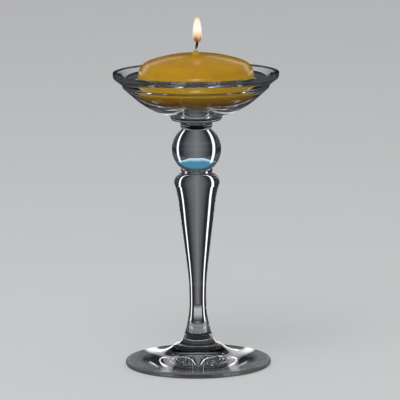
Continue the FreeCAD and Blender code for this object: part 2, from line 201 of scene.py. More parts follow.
class Nodes:
    """Adds nodes to a tree and links them by the names of their sockets."""

    def __init__(self, tree):
        self.tree = tree

    def add(self, kind, settings=None, **inputs):
        node = self.tree.nodes.new(kind)
        for name, value in (settings or {}).items():
            setattr(node, name, value)
        for name, value in inputs.items():
            self.feed(node, name.replace("_", " "), value)
        return node

    def feed(self, node, name, value):
        socket = node.inputs[name]
        if isinstance(value, bpy.types.Node):
            value = value.outputs[0]
        if isinstance(value, bpy.types.NodeSocket):
            self.tree.links.new(value, socket)
        else:
            socket.default_value = opaque(value) if socket.type == "RGBA" else value

    def fill(self, node, *values):
        for number, value in enumerate(values):
            self.feed(node, number, value)
        return node.outputs

    def math(self, operation, *values, clamp=False):
        node = self.add("ShaderNodeMath", {"operation": operation, "use_clamp": clamp})
        return self.fill(node, *values)[0]

    def vector(self, operation, *values, **more):
        return self.fill(self.add("ShaderNodeVectorMath", {"operation": operation}, **more), *values)

    def spread(self, value, low, high, to_low, to_high, smooth=False):
        kind = "SMOOTHSTEP" if smooth else "LINEAR"
        node = self.add("ShaderNodeMapRange", {"interpolation_type": kind, "clamp": True})
        return self.fill(node, value, low, high, to_low, to_high)[0]

    def blend(self, share, first, second):
        node = self.add("ShaderNodeMix", {"data_type": "RGBA", "clamp_factor": True})
        for socket, value in ((0, share), (6, first), (7, second)):
            self.feed(node, socket, value)
        return node.outputs[2]

    def ramp(self, share, stops):
        node = self.add("ShaderNodeValToRGB", Fac=share)
        elements = node.color_ramp.elements
        while len(elements) > 1:
            elements.remove(elements[-1])
        elements[0].position, elements[0].color = stops[0][0], opaque(stops[0][1])
        for place, colour in stops[1:]:
            elements.new(place).color = opaque(colour)
        return node.outputs[0]

    def split(self, vector):
        return self.add("ShaderNodeSeparateXYZ", Vector=vector).outputs

    def join(self, **parts):
        return self.add("ShaderNodeCombineXYZ", **parts).outputs[0]

    def place(self, stretch=(1, 1, 1)):
        place = self.add("ShaderNodeTexCoord").outputs["Object"]
        return self.add("ShaderNodeMapping", Vector=place, Scale=stretch).outputs[0]

    def noise(self, vector, scale, detail=2.0, roughness=0.5):
        node = self.add("ShaderNodeTexNoise", Vector=vector, Scale=scale, Detail=detail, Roughness=roughness)
        return node.outputs[0]


SOCKETS = {"value": "NodeSocketFloat", "count": "NodeSocketInt", "colour": "NodeSocketColor",
           "shape": "NodeSocketGeometry", "material": "NodeSocketMaterial"}


def new_tree(name, kind, inputs, outputs):
    """A node tree with named sockets, and its nodes, group input and group output."""
    tree = bpy.data.node_groups.new(name, kind)
    for in_out, sockets in (("INPUT", inputs), ("OUTPUT", outputs)):
        for label, socket in sockets.items():
            tree.interface.new_socket(label, in_out=in_out, socket_type=SOCKETS[socket])
    nodes = Nodes(tree)
    return tree, nodes, nodes.add("NodeGroupInput").outputs, nodes.add("NodeGroupOutput")


def tone_drift():
    """Shader group: one colour drifting softly into another over the surface."""
    tree, nodes, given, out = new_tree("Tone drift", "ShaderNodeTree", {
        "Colour": "colour", "Drift colour": "colour", "Scale": "value", "Amount": "value",
    }, {"Colour": "colour"})
    patches = nodes.noise(nodes.place(), given["Scale"], 4.0, 0.6)
    mask = nodes.spread(patches, 0.35, 0.7, 0.0, 1.0, True)
    share = nodes.math("MULTIPLY", mask, given["Amount"])
    nodes.feed(out, "Colour", nodes.blend(share, given["Colour"], given["Drift colour"]))
    return tree


def handling_marks():
    """Shader group: roughness with soft smears and fine rubbed specks."""
    tree, nodes, given, out = new_tree("Handling marks", "ShaderNodeTree", {
        "Roughness": "value", "Smears": "value", "Specks": "value", "Scale": "value",
    }, {"Roughness": "value"})
    place = nodes.place((1.0, 1.0, 0.35))
    smears = nodes.spread(nodes.noise(place, given["Scale"], 5.0, 0.62), 0.5, 0.75, 0.0, 1.0, True)
    fine = nodes.noise(nodes.place(), nodes.math("MULTIPLY", given["Scale"], 22.0), 2.0, 0.5)
    specks = nodes.spread(fine, 0.7, 0.78, 0.0, 1.0)
    worn = nodes.math("ADD", nodes.math("MULTIPLY", smears, given["Smears"]),
                      nodes.math("MULTIPLY", specks, given["Specks"]))
    nodes.feed(out, "Roughness", nodes.math("ADD", given["Roughness"], worn, clamp=True))
    return tree


def soft_unevenness():
    """Shader group: height of a surface with soft waves and finer grain."""
    tree, nodes, given, out = new_tree("Soft unevenness", "ShaderNodeTree", {
        "Scale": "value", "Fine scale": "value", "Fine share": "value",
    }, {"Height": "value"})
    waves = nodes.noise(nodes.place((1.0, 1.0, 0.5)), given["Scale"], 1.0, 0.4)
    grain = nodes.noise(nodes.place(), given["Fine scale"], 3.0, 0.6)
    nodes.feed(out, "Height", nodes.math("ADD", waves, nodes.math("MULTIPLY", grain, given["Fine share"])))
    return tree


def group_named(maker, name):
    """A node group, built the first time that it is asked for."""
    return bpy.data.node_groups.get(name) or maker()


def shader_group(nodes, maker, name, **inputs):
    """The output of a shader group with these inputs."""
    return nodes.add("ShaderNodeGroup", {"node_tree": group_named(maker, name)}, **inputs).outputs[0]


def cleared(owner):
    """The emptied node tree of a new material or world."""
    owner.use_nodes = True
    owner.node_tree.nodes.clear()
    return Nodes(owner.node_tree)


def new_material(name, **inputs):
    """A procedural material, its nodes and its Principled shader with these inputs set."""
    material = bpy.data.materials.new(name)
    nodes = cleared(material)
    shader = nodes.add("ShaderNodeBsdfPrincipled", **inputs)
    nodes.add("ShaderNodeOutputMaterial", Surface=shader)
    return material, nodes, shader


def opaque(colour):
    """A colour with full alpha."""
    return (*colour, 1.0)


def shaded(colour):
    """The same colour, a trace darker."""
    return [channel * DRIFT_SHADE for channel in colour]


def use_drift(nodes, shader, **amounts):
    """Give a shader a colour that drifts into another, and give back that colour."""
    tone = shader_group(nodes, tone_drift, "Tone drift", **amounts)
    nodes.feed(shader, "Base Color", tone)
    return tone


def use_marks(nodes, shader, **amounts):
    """Drive a shader's roughness with handling marks, and give back that roughness."""
    marks = shader_group(nodes, handling_marks, "Handling marks", **amounts)
    nodes.feed(shader, "Roughness", marks)
    return marks


def use_unevenness(nodes, shader, depth, strength, **amounts):
    """Give a shader a bump with soft waves and fine grain."""
    height = shader_group(nodes, soft_unevenness, "Soft unevenness", **amounts)
    bump = nodes.add("ShaderNodeBump", Strength=strength, Distance=depth, Height=height)
    nodes.feed(shader, "Normal", bump)


# Materials

def glass_material(name, tint):
    """Polished hot-worked glass with faint waves, smears and a rubbed rest ring."""
    made = bpy.data.materials.get(name)
    if made:
        return made
    material, nodes, shader = new_material(name, Transmission_Weight=1.0, IOR=1.52)
    use_drift(nodes, shader, Colour=tint, Drift_colour=shaded(tint), Scale=45.0, Amount=0.8)
    marks = use_marks(nodes, shader, Roughness=0.0, Smears=0.012, Specks=0.02, Scale=55.0)
    rubbed = nodes.spread(nodes.split(nodes.place())["Z"], 0.05 * MM, 0.4 * MM, 0.35, 0.0, True)
    nodes.feed(shader, "Roughness", nodes.math("ADD", marks, rubbed, clamp=True))
    use_unevenness(nodes, shader, 0.02 * MM, 0.6, Scale=110.0, Fine_scale=1400.0, Fine_share=0.01)
    path = nodes.add("ShaderNodeLightPath").outputs
    unseen = nodes.math("MAXIMUM", path["Is Shadow Ray"], path["Is Diffuse Ray"])
    nodes.feed(shader, "Alpha", nodes.math("SUBTRACT", 1.0, nodes.math("MULTIPLY", unseen, PASSED_LIGHT)))
    return material


def joint_material():
    """The fused joint inside the glass, which light passes as if it weren't there."""
    name = "Fused joint"
    return bpy.data.materials.get(name) or new_material(name, Base_Color=WHITE, Alpha=0.0)[0]


def wax_material(look):
    """Golden wax: mottled, darkened at its foot and its dome's top by painted shade, lightened round its
    belly by painted light, and olive round the wick.
    """
    material, nodes, shader = new_material(
        "Golden wax", IOR=1.44, Subsurface_Weight=0.35, Subsurface_Radius=(1.0, 0.45, 0.1),
        Subsurface_Scale=4 * MM)
    tone = use_drift(nodes, shader, Colour=look.wax_gold, Drift_colour=look.wax_amber_and_top_shade,
                     Scale=38.0, Amount=0.55)
    place = nodes.place()
    level = nodes.math("SUBTRACT", nodes.split(place)["Z"], seat_of("candle_wax"))
    level = nodes.math("DIVIDE", level, look.height)
    # Painted shade: the wax darkens towards its foot.
    low = nodes.spread(level, 0.1, 0.5, 1.0, 0.0, True)
    colour = nodes.blend(low, tone, look.wax_foot_shade)
    # Painted light: the wax lightens round its belly.
    off_belly = nodes.math("ABSOLUTE", nodes.math("SUBTRACT", level, 0.52))
    belly = nodes.spread(off_belly, 0.0, 0.2, 0.85, 0.0, True)
    colour = nodes.blend(belly, colour, look.wax_belly_light)
    bloom = nodes.spread(nodes.noise(place, 210.0, 6.0, 0.7), 0.52, 0.78, 0.0, 0.3, True)
    colour = nodes.blend(bloom, colour, look.wax_pale)
    # Painted shade: the dome's top darkens towards amber.
    top_shade = nodes.spread(level, 0.7, 1.0, 0.0, 0.3, True)
    colour = nodes.blend(top_shade, colour, look.wax_amber_and_top_shade)
    reach = nodes.vector("LENGTH", nodes.place((1.0, 1.0, 0.0)))["Value"]
    nub = nodes.math("MULTIPLY", nodes.spread(reach, 2.5 * MM, 9 * MM, 0.85, 0.0, True),
                     nodes.spread(level, 0.8, 0.9, 0.0, 1.0))
    nodes.feed(shader, "Base Color", nodes.blend(nub, colour, look.wax_nub))
    use_marks(nodes, shader, Roughness=0.2, Smears=0.12, Specks=0.08, Scale=60.0)
    use_unevenness(nodes, shader, 0.12 * MM, 0.5, Scale=60.0, Fine_scale=1500.0, Fine_share=0.12)
    return material


def cotton_material(look):
    """Braided cotton, clean low down and charred at its tip."""
    material, nodes, shader = new_material("Wick cotton")
    tone = use_drift(nodes, shader, Colour=look.cotton, Drift_colour=(0.5, 0.38, 0.2),
                     Scale=900.0, Amount=0.6)
    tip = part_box("wick")[1].z
    ragged = nodes.math("MULTIPLY", nodes.noise(nodes.place(), 700.0, 3.0, 0.6), 1.6 * MM)
    height = nodes.math("ADD", nodes.split(nodes.place())["Z"], ragged)
    scorch = nodes.spread(height, tip - 5.6 * MM, tip - 2.6 * MM, 0.0, 1.0, True)
    brown = nodes.blend(nodes.spread(scorch, 0.0, 0.5, 0.0, 1.0), tone, (0.2, 0.09, 0.035))
    burnt = nodes.spread(scorch, 0.4, 1.0, 0.0, 1.0)
    nodes.feed(shader, "Base Color", nodes.blend(burnt, brown, look.char))
    use_marks(nodes, shader, Roughness=0.8, Smears=0.1, Specks=0.1, Scale=400.0)
    use_unevenness(nodes, shader, 0.05 * MM, 1.0, Scale=1800.0, Fine_scale=5200.0, Fine_share=0.6)
    return material


def tab_material(look):
    """Stamped metal with fine brushing and dull wax film."""
    material, nodes, shader = new_material("Tab metal", Metallic=1.0)
    use_drift(nodes, shader, Colour=look.tab_metal, Drift_colour=(0.5, 0.48, 0.43), Scale=500.0, Amount=0.7)
    use_marks(nodes, shader, Roughness=0.24, Smears=0.2, Specks=0.2, Scale=600.0)
    use_unevenness(nodes, shader, 0.02 * MM, 0.6, Scale=900.0, Fine_scale=6000.0, Fine_share=0.5)
    return material


def flame_material(name, look, core):
    """Glowing flame: orange-brown at its foot, white-yellow in its heart and peach at its edge."""
    material, nodes, shader = new_material(
        name, Emission_Strength=1.0, Base_Color=(0.02, 0.012, 0.006), Specular_IOR_Level=0.0,
        Roughness=1.0)
    low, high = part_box("flame")
    height = nodes.spread(nodes.split(nodes.place())["Z"], low.z, high.z, 0.0, 1.0)
    flicker = nodes.noise(nodes.place((1, 1, 0.4)), 420.0, 2.0, 0.5)
    height = nodes.math("ADD", height, nodes.spread(flicker, 0.3, 0.7, -0.04, 0.04))
    if core:
        stops = [(0.0, (0.03, 0.012, 0.008)), (0.09, (0.12, 0.035, 0.01)), (0.19, (0.5, 0.19, 0.035)),
                 (0.3, (0.9, 0.55, 0.2)), (0.4, (1.0, 0.9, 0.55)), (0.48, look.flame_core),
                 (0.66, look.flame_core), (0.78, (0.98, 1.0, 0.72)), (0.9, (1.0, 0.85, 0.52)),
                 (1.0, (0.8, 0.45, 0.22))]
    else:
        stops = [(0.0, (0.12, 0.05, 0.06)), (0.1, (0.55, 0.32, 0.2)), (0.25, (1.0, 0.8, 0.6)),
                 (0.45, (1.0, 0.94, 0.88)), (0.65, (1.0, 0.94, 0.84)), (0.85, look.flame_edge),
                 (1.0, (0.7, 0.34, 0.14))]
        nodes.feed(shader, "Alpha", nodes.spread(height, 0.0, 0.3, 0.2, 0.4, True))
    nodes.feed(shader, "Emission Color", nodes.ramp(height, stops))
    return material


# Outlines and turned pieces

def arc_points(start, end, bow, step):
    """Points from start up to, but not with, end.

    The bow is the arc's height as a share of half its chord, and is negative where the arc bulges outward.
    """
    run, rise = end[0] - start[0], end[1] - start[1]
    chord = math.hypot(run, rise)
    if not bow:
        parts = max(1, math.ceil(chord / step))
        return [(start[0] + run * i / parts, start[1] + rise * i / parts) for i in range(parts)]
    half_angle = 2 * math.atan(abs(bow))
    radius = chord / 2 / math.sin(half_angle)
    parts = max(2, math.ceil(2 * radius * half_angle / step), math.ceil(2 * half_angle / ARC_STEP))
    along = (run / chord, rise / chord)
    left = (-along[1], along[0])
    side = 1 if bow > 0 else -1
    points = []
    for i in range(parts):
        angle = half_angle * (2 * i / parts - 1)
        forward = chord / 2 + radius * math.sin(angle)
        across = side * radius * (math.cos(angle) - math.cos(half_angle))
        points.append((start[0] + along[0] * forward + left[0] * across,
                       start[1] + along[1] * forward + left[1] * across))
    return points


def outline_points(corners, seat, step):
    """Points along an outline of (radius, height, bow of the edge that leaves the corner)."""
    points = []
    for (r0, z0, bow), (r1, z1, _) in zip(corners, corners[1:]):
        points += arc_points((r0, z0), (r1, z1), bow, step)
    points.append(corners[-1][:2])
    return [(r, z + seat) for r, z in points]


def end_tree(nodes, shape, given, out):
    """End a geometry tree with smooth faces, real instances and its material."""
    smooth = nodes.add("GeometryNodeSetShadeSmooth", Geometry=shape)
    real = nodes.add("GeometryNodeRealizeInstances", Geometry=smooth)
    finished = nodes.add("GeometryNodeSetMaterial", Geometry=real, Material=given["Material"])
    nodes.feed(out, "Geometry", finished)


def turning_tree():
    """Geometry tree: turns an outline about the upright axis, with soft waves and faint rings."""
    tree, nodes, given, out = new_tree("Turned piece", "GeometryNodeTree", {
        "Outline": "shape", "Sides": "count", "Wave Height": "value", "Wave Size": "value",
        "Ring Height": "value", "Ring Size": "value", "Material": "material",
    }, {"Geometry": "shape"})
    count = nodes.add("GeometryNodeAttributeDomainSize", Geometry=given["Outline"]).outputs["Point Count"]
    around = nodes.math("ADD", given["Sides"], 1.0)
    grid = nodes.add("GeometryNodeMeshGrid", Size_X=1.0, Size_Y=1.0, Vertices_X=count, Vertices_Y=around)
    index = nodes.add("GeometryNodeInputIndex")
    row = nodes.math("FLOOR", nodes.math("DIVIDE", nodes.math("ADD", index, 0.5), around))
    column = nodes.math("SUBTRACT", index, nodes.math("MULTIPLY", row, around))
    point = nodes.add("GeometryNodeSampleIndex", {"data_type": "FLOAT_VECTOR", "domain": "POINT"},
                      Geometry=given["Outline"], Index=row)
    nodes.feed(point, "Value", nodes.add("GeometryNodeInputPosition"))
    place = nodes.split(point)
    turn = nodes.math("MULTIPLY", nodes.math("DIVIDE", column, given["Sides"]), FULL_TURN)
    outward = nodes.join(X=nodes.math("COSINE", turn), Y=nodes.math("SINE", turn))
    true_place = nodes.vector("ADD", nodes.vector("SCALE", outward, Scale=place["X"])[0],
                              nodes.join(Z=place["Z"]))[0]

    def relief(here, kind):
        lumps = nodes.noise(here, nodes.math("DIVIDE", 1.0, given[f"{kind} Size"]), 1.0, 0.4)
        return nodes.math("MULTIPLY", nodes.spread(lumps, 0.25, 0.75, -1.0, 1.0), given[f"{kind} Height"])

    waves = relief(nodes.vector("MULTIPLY", true_place, (1.0, 1.0, 0.6))[0], "Wave")
    rings = relief(nodes.join(X=3.7, Z=place["Z"]), "Ring")
    reach = nodes.spread(place["X"], 0.0, 3 * MM, 0.0, 1.0, True)
    push = nodes.math("MULTIPLY", nodes.math("ADD", waves, rings), reach)
    turned = nodes.add("GeometryNodeSetPosition", Geometry=grid, Position=true_place,
                       Offset=nodes.vector("SCALE", outward, Scale=push)[0])
    closed = nodes.add("GeometryNodeMergeByDistance", Geometry=turned, Distance=MERGE_REACH)
    end_tree(nodes, closed, given, out)
    return tree


def run_nodes(obj, tree, values):
    """Run a geometry tree on an object with its inputs set by name, and keep the result as a plain mesh."""
    modifier = obj.modifiers.new(tree.name, "NODES")
    modifier.node_group = tree
    for item in tree.interface.items_tree:
        if item.item_type == "SOCKET" and item.in_out == "INPUT" and item.name in values:
            modifier[item.identifier] = values[item.name]
    depsgraph = bpy.context.evaluated_depsgraph_get()
    mesh = bpy.data.meshes.new_from_object(obj.evaluated_get(depsgraph), depsgraph=depsgraph)
    obj.modifiers.clear()
    source, obj.data = obj.data, mesh
    bpy.data.meshes.remove(source)
    mesh.name = obj.name
    if not mesh.polygons:
        raise RuntimeError(f"{obj.name} came out of its nodes empty")
    mesh.materials.clear()
    mesh.materials.append(values["Material"])
    mesh.polygons.foreach_set("material_index", [0] * len(mesh.polygons))


def tidy_mesh(obj, sharp_angle=38.0):
    """Merge doubles, turn the faces outward and mark the hard edges."""
    mesh = bmesh.new()
    mesh.from_mesh(obj.data)
    bmesh.ops.remove_doubles(mesh, verts=mesh.verts, dist=SAME_POINT)
    bmesh.ops.recalc_face_normals(mesh, faces=mesh.faces)
    for face in mesh.faces:
        face.smooth = True
    if any(not edge.is_manifold for edge in mesh.edges):
        raise RuntimeError(f"{obj.name} isn't closed")
    mesh.to_mesh(obj.data)
    mesh.free()
    obj.data.set_sharp_from_angle(angle=math.radians(sharp_angle))


def link_new(name, data):
    """A new object with this mesh, lamp or camera, linked into the scene."""
    obj = bpy.data.objects.new(name, data)
    bpy.context.scene.collection.objects.link(obj)
    return obj


def new_object(name, points, edges=(), faces=()):
    """A mesh object at the origin."""
    mesh = bpy.data.meshes.new(name)
    mesh.from_pydata(points, edges, faces)
    return link_new(name, mesh)


def turned_piece(name, corners, seat, material, step=GLASS_STEP, sides=128, **waves):
    """Turn an outline into a closed piece."""
    points = [(r, 0.0, z) for r, z in outline_points(corners, seat, step)]
    obj = new_object(name, points, [(i, i + 1) for i in range(len(points) - 1)])
    tree = group_named(turning_tree, "Turned piece")
    run_nodes(obj, tree, {"Sides": sides, "Material": material, **waves})
    tidy_mesh(obj)
    return obj


def mark_joints(obj, heights):
    """Give the flat faces at these heights, inside the fused joints, the joint material."""
    obj.data.materials.append(joint_material())
    for face in obj.data.polygons:
        levels = [obj.data.vertices[v].co.z for v in face.vertices]
        if any(max(abs(z - height) for z in levels) < JOINT_REACH for height in heights):
            face.material_index = 1


def glass_piece(look, name, corners, joints, step=GLASS_STEP):
    """A turned glass piece that stands for its CAD node."""
    seat, ball = seat_of(name), name == "ball_knop"
    if ball:
        material = glass_material("Ball glass", look.ball_tint)
    else:
        material = glass_material("Clear glass", look.tint)
    obj = turned_piece(f"{name}_glass", corners, seat, material, step, look.sides, **{
        "Wave Height": look.wave_height, "Wave Size": look.wave_size,
        "Ring Height": 0.3 * look.wave_height, "Ring Size": 0.4 * look.wave_size})
    mark_joints(obj, [seat + z for z in joints])
    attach(obj, "stand")
    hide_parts(name)


class OBJECT_OT_add_foot(bpy.types.Operator):
    """Add the round glass foot with its boss"""

    bl_idname = "candle_bowl.add_foot"
    bl_label = "Glass Foot"

    def execute(self, context):
        look = context.scene.candle_bowl.glass
        r, h = look.foot_radius, look.foot_height
        edge, boss, thick = 1.2 * MM, 16.8 * MM, 3.4 * MM
        rest = r - edge
        corners = [
            (0, 1.2 * MM, 0), (rest - 1.6 * MM, 0, 0), (rest, 0, -QUARTER_BOW), (r, edge, 0),
            (r, thick - edge, -QUARTER_BOW), (rest, thick, 0.015), (0.54 * r, 0.45 * h, 0.1),
            (boss, 0.685 * h, -0.2), (0.79 * boss, 0.8 * h, 0.2), (10 * MM, h, 0), (0, h, 0),
        ]
        glass_piece(look, "foot", corners, [h])
        return {"FINISHED"}


class OBJECT_OT_add_stem(bpy.types.Operator):
    """Add the solid glass stem with its waist, taper and shoulder"""

    bl_idname = "candle_bowl.add_stem"
    bl_label = "Glass Stem"

    def execute(self, context):
        look = context.scene.candle_bowl.glass
        waist, shoulder, h = look.stem_waist, look.stem_shoulder, look.stem_height
        corners = [
            (0, 0, 0), (10 * MM, 0, 0.089), (waist, 0.228 * h, 0.031), (1.284 * waist, 0.455 * h, 0),
            (0.812 * shoulder, 0.835 * h, 0.04), (0.978 * shoulder, 0.933 * h, -0.1),
            (shoulder, h - 6 * MM, -0.38), (9.3 * MM, h, 0), (0, h, 0),
        ]
        glass_piece(look, "stem", corners, [0, h], 0.8 * MM)
        return {"FINISHED"}


class OBJECT_OT_add_knop(bpy.types.Operator):
    """Add the glass ball and the small collars below and above it"""

    bl_idname = "candle_bowl.add_knop"
    bl_label = "Glass Ball and Collars"

    def execute(self, context):
        look = context.scene.candle_bowl.glass
        for name, low, bead, high in (("lower_collar", 9.3, 10.4, 10.1), ("upper_collar", 9.4, 10.6, 9.7)):
            h = height_of(name)
            corners = [(0, 0, 0), (low * MM, 0, -0.28), (bead * MM, 0.55 * h, -0.28), (high * MM, h, 0),
                       (0, h, 0)]
            glass_piece(look, name, corners, [0, h], 0.3 * MM)
        r, low, high = look.ball_radius, 10.1 * MM, 9.4 * MM
        below, above = math.sqrt(r * r - low * low), math.sqrt(r * r - high * high)
        corners = [(0, 0, 0), (low, 0, -arc_bow(low, below)), (r, below, -arc_bow(high, above)),
                   (high, below + above, 0), (0, below + above, 0)]
        glass_piece(look, "ball_knop", corners, [0, below + above], 0.5 * MM)
        return {"FINISHED"}


def arc_bow(reach, rise):
    """Bow of the arc of a circle from its widest point to a point at this reach and rise."""
    half_angle = math.atan2(rise, reach) / 2
    return math.tan(half_angle / 2)


class OBJECT_OT_add_bowl(bpy.types.Operator):
    """Add the glass pad and the shallow bowl with its turned-out lip"""

    bl_idname = "candle_bowl.add_bowl"
    bl_label = "Glass Bowl and Pad"

    def execute(self, context):
        look = context.scene.candle_bowl.glass
        joint, h = 16.6 * MM, height_of("bowl_pad")
        rim, thick = joint + 0.45 * MM, 3.6 * MM
        corners = [(0, 0, 0), (9.7 * MM, 0, 0), (0.94 * rim, h - thick, -0.25), (rim, h - thick / 2, -0.25),
                   (joint, h, 0), (0, h, 0)]
        glass_piece(look, "bowl_pad", corners, [0, h], 0.4 * MM)
        inner, r, lip, h = look.bowl_inside, look.bowl_radius, look.lip_radius, look.bowl_height
        edge = 0.6 * MM
        corners = [
            (0, 0, 0), (joint, 0, -0.135), (0.785 * r, 0.326 * h, -0.02), (0.973 * r, 0.61 * h, -0.22),
            (r, 0.67 * h, 0.2), (r + 0.7 * MM, 0.725 * h, 0), (lip - edge, h - 3.9 * MM, -0.12),
            (lip, h - edge, -QUARTER_BOW), (lip - edge, h, 0.04),
            (inner + 0.45 * (lip - inner), 0.945 * h, -0.3), (inner, 0.76 * h, 0.31),
            (14 * MM, 4 * MM, 0), (0, 4 * MM, 0),
        ]
        glass_piece(look, "bowl", corners, [0])
        return {"FINISHED"}


class OBJECT_OT_add_wax(bpy.types.Operator):
    """Add the domed wax with the bore for its wick and the recess for its tab"""

    bl_idname = "candle_bowl.add_wax"
    bl_label = "Candle Wax"

    def execute(self, context):
        look = context.scene.candle_bowl.candle
        r, h, bore = look.radius, look.height, WICK_BORE
        recess, recess_top, neck, neck_top = 6.1 * MM, 0.5 * MM, 1.45 * MM, 3.5 * MM
        nub_top = h + 1.6 * MM
        corners = [
            (bore, neck_top, 0), (neck, neck_top, 0), (neck, recess_top, 0), (recess, recess_top, 0),
            (recess, 0, 0), (13 * MM, 0, -0.26), (r, 0.38 * h, 0), (r, 0.594 * h, -0.313),
            (0.827 * r, 0.857 * h, -0.088), (2.4 * MM, h, 0.3), (1.75 * MM, nub_top, -0.35),
            (bore, nub_top - 0.15 * MM, 0), (bore, neck_top, 0),
        ]
        obj = turned_piece("candle_wax_body", corners, seat_of("candle_wax"), wax_material(look), 0.7 * MM,
                           176, **{"Wave Height": 0.12 * MM, "Wave Size": 22 * MM,
                                   "Ring Height": 0.03 * MM, "Ring Size": 5 * MM})
        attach(obj, "candle")
        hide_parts("candle_wax")
        return {"FINISHED"}


def braid_tree():
    """Geometry tree: strands braided round the upright axis."""
    tree, nodes, given, out = new_tree("Braided wick", "GeometryNodeTree", {
        "Geometry": "shape", "Strands": "count", "Strand Radius": "value", "Reach": "value",
        "Low": "value", "High": "value", "Pitch": "value", "Lean": "value", "Bend Height": "value",
        "Material": "material",
    }, {"Geometry": "shape"})
    line = nodes.add("GeometryNodeCurvePrimitiveLine", Start=nodes.join(Z=given["Low"]),
                     End=nodes.join(Z=given["High"]))
    fine = nodes.add("GeometryNodeResampleCurve", Curve=line, Count=260)
    copies = nodes.add("GeometryNodeDuplicateElements", {"domain": "SPLINE"}, Geometry=fine,
                       Amount=given["Strands"])
    level = nodes.split(nodes.add("GeometryNodeInputPosition"))["Z"]
    phase = nodes.math("DIVIDE", copies.outputs["Duplicate Index"], given["Strands"])
    turn = nodes.math("ADD", nodes.math("DIVIDE", level, given["Pitch"]), phase)
    turn = nodes.math("MULTIPLY", turn, FULL_TURN)
    side = nodes.math("MULTIPLY", nodes.math("SINE", turn), given["Reach"])
    deep = nodes.math("MULTIPLY", nodes.math("SINE", nodes.math("MULTIPLY", turn, 2.0)), given["Reach"])
    deep = nodes.math("MULTIPLY", deep, BRAID_FLATNESS)
    bend = nodes.spread(level, nodes.math("SUBTRACT", given["High"], given["Bend Height"]), given["High"],
                        0.0, given["Lean"], True)
    offset = nodes.join(X=nodes.math("ADD", side, bend), Y=deep)
    strands = nodes.add("GeometryNodeSetPosition", Geometry=copies, Offset=offset)
    ring = nodes.add("GeometryNodeCurvePrimitiveCircle", Resolution=10, Radius=given["Strand Radius"])
    mesh = nodes.add("GeometryNodeCurveToMesh", Curve=strands, Profile_Curve=ring, Fill_Caps=True)
    end_tree(nodes, mesh, given, out)
    return tree


class OBJECT_OT_add_wick(bpy.types.Operator):
    """Add the braided wick with its charred tip"""

    bl_idname = "candle_bowl.add_wick"
    bl_label = "Wick"

    def execute(self, context):
        look = context.scene.candle_bowl.candle
        low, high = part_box("wick")
        strand = 0.46 * look.wick_radius
        obj = new_object("wick_braid", [(0, 0, low.z)])
        run_nodes(obj, group_named(braid_tree, "Braided wick"), {
            "Strands": look.wick_strands, "Strand Radius": strand, "Reach": look.wick_radius - strand,
            "Low": low.z + 0.1 * MM, "High": high.z - 0.1 * MM, "Pitch": look.braid_pitch,
            "Lean": look.wick_lean, "Bend Height": 9 * MM, "Material": cotton_material(look)})
        tidy_mesh(obj, 60.0)
        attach(obj, "candle")
        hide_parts("wick")
        return {"FINISHED"}


class OBJECT_OT_add_tab(bpy.types.Operator):
    """Add the stamped metal tab that holds the wick under the wax"""

    bl_idname = "candle_bowl.add_tab"
    bl_label = "Wick Tab"

    def execute(self, context):
        look = context.scene.candle_bowl.candle
        seat, r, h = seat_of("wick_tab"), radius_of("wick_tab"), height_of("wick_tab")
        bore, thick, curl = WICK_BORE, 0.4 * MM, 0.12 * MM
        neck = bore + thick
        hub, rim, shoulder = 2 * MM, 0.8 * r, 1.2 * MM
        ridge_height, pinch = 0.08 * MM, 0.07
        corners = [
            (bore, 0.2 * MM, 0), (bore + 0.5 * MM, 0.02 * MM, 0), (rim, 0, 0),
            (r - curl, 0, -QUARTER_BOW), (r, curl, 0), (r, thick - curl, -QUARTER_BOW),
            (r - curl, thick, 0), (rim, thick, 0),
            (neck + curl, thick, 0.4), (neck, thick + curl, 0), (neck, h - curl, -QUARTER_BOW),
            (neck - curl, h, 0), (bore, h, 0), (bore, 0.2 * MM, 0),
        ]
        obj = turned_piece("wick_tab_metal", corners, seat, tab_material(look), 0.2 * MM, 96)
        for vertex in obj.data.vertices:
            reach = math.hypot(vertex.co.x, vertex.co.y)
            turn = math.atan2(vertex.co.y, vertex.co.x)
            ridge = max(0.0, math.cos(look.tab_ridges * turn)) ** 3
            if vertex.co.z > seat + 0.6 * thick and hub < reach < rim:
                vertex.co.z += ridge_height * ridge * math.sin(math.pi * (reach - hub) / (rim - hub))
            if vertex.co.z > seat + shoulder and reach > neck - 0.2 * MM:
                squeeze = 1 - pinch * max(0.0, math.cos(4 * turn)) ** 2
                vertex.co.x *= squeeze
                vertex.co.y *= squeeze
        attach(obj, "candle")
        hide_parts("wick_tab")
        return {"FINISHED"}


class OBJECT_OT_add_flame(bpy.types.Operator):
    """Add the flame: a glowing heart inside a thin mantle"""

    bl_idname = "candle_bowl.add_flame"
    bl_label = "Flame"

    def execute(self, context):
        look = context.scene.candle_bowl.candle
        # The photo's flame is slimmer than the solid that stands for it
        seat, r, h = seat_of("flame"), 0.84 * radius_of("flame"), height_of("flame")
        mantle = [(0, 0, 0), (0.6 * r, 0, -0.3), (0.975 * r, 0.125 * h, -0.08), (0.74 * r, 0.765 * h, -0.12),
                  (0.17 * r, 0.98 * h, 0), (0, h, 0)]
        heart = [(0.84 * x, 0.05 * h + 0.88 * z, bow) for x, z, bow in mantle]
        for part, corners in (("mantle", mantle), ("heart", heart)):
            glow = flame_material(f"Flame {part}", look, part == "heart")
            obj = turned_piece(f"flame_{part}", corners, seat, glow, 0.3 * MM, 64)
            for vertex in obj.data.vertices:
                vertex.co.x += look.wick_lean
            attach(obj, "candle")
            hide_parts("flame")
        return {"FINISHED"}


# Stage

